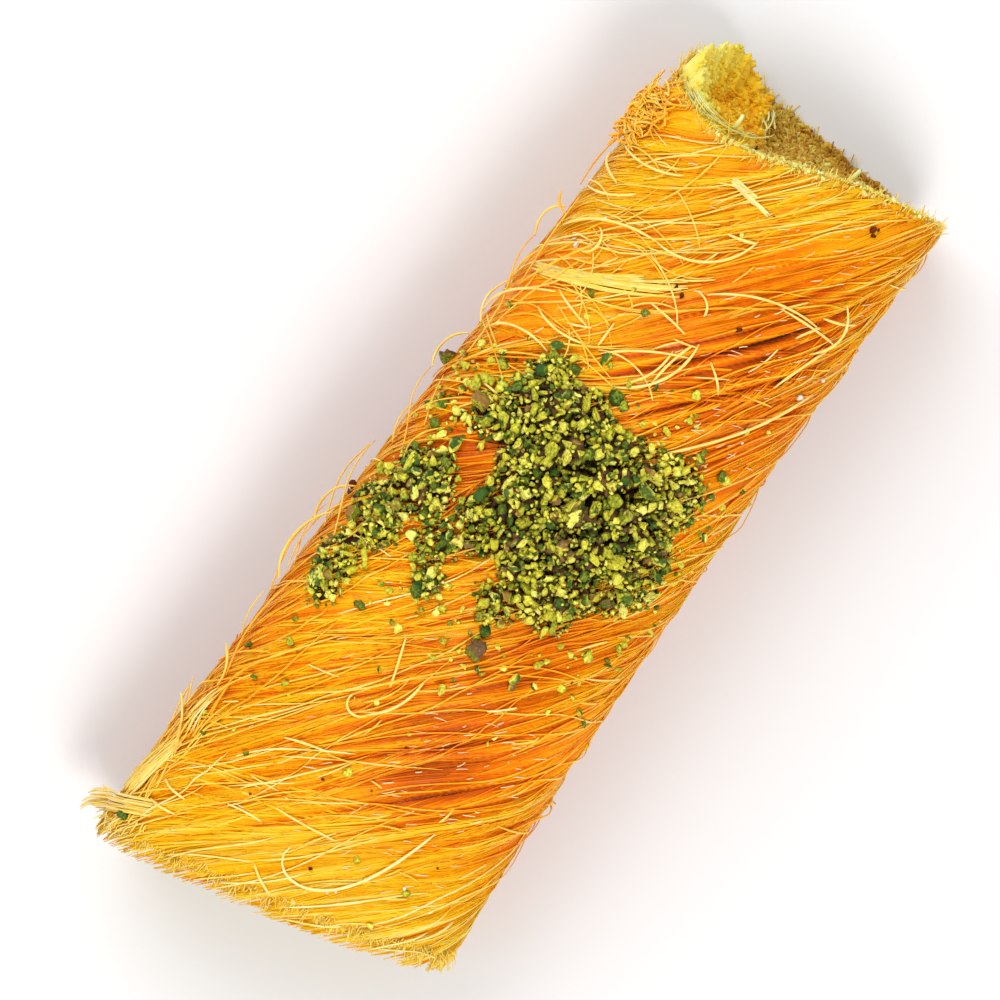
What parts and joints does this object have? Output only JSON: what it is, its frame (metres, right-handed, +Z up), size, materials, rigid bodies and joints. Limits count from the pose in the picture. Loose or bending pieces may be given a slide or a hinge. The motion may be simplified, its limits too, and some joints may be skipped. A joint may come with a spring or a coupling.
{
  "type": "rolled kunafa",
  "caption": "Log-shaped pastry roll of browned shredded dough round a soft pale filling, cut slantwise at both ends and heaped with ground pistachio.",
  "frame": {"origin": "on the table, under the middle of the box round the whole roll", "axes": "+X along the roll to the cut end that shows its filling, +Z up, +Y to the squarer shoulder"},
  "size_m": [0.118, 0.0455, 0.036],
  "materials": {
    "baked_dough": "syrup-soaked crisp shreds, golden to deep orange, softly glossy; stands in for baked dough",
    "soft_filling": "pale green-yellow, moist and grainy, amber where syrup pools; stands in for the soft inner mass",
    "ground_pistachio": "matte crumbs, yellow-green to dark green with purple-brown skins"
  },
  "bodies": {
    "root": {"dough_roll": "baked_dough", "filling": "soft_filling", "pistachio_heap": "ground_pistachio"}
  },
  "joints": []
}
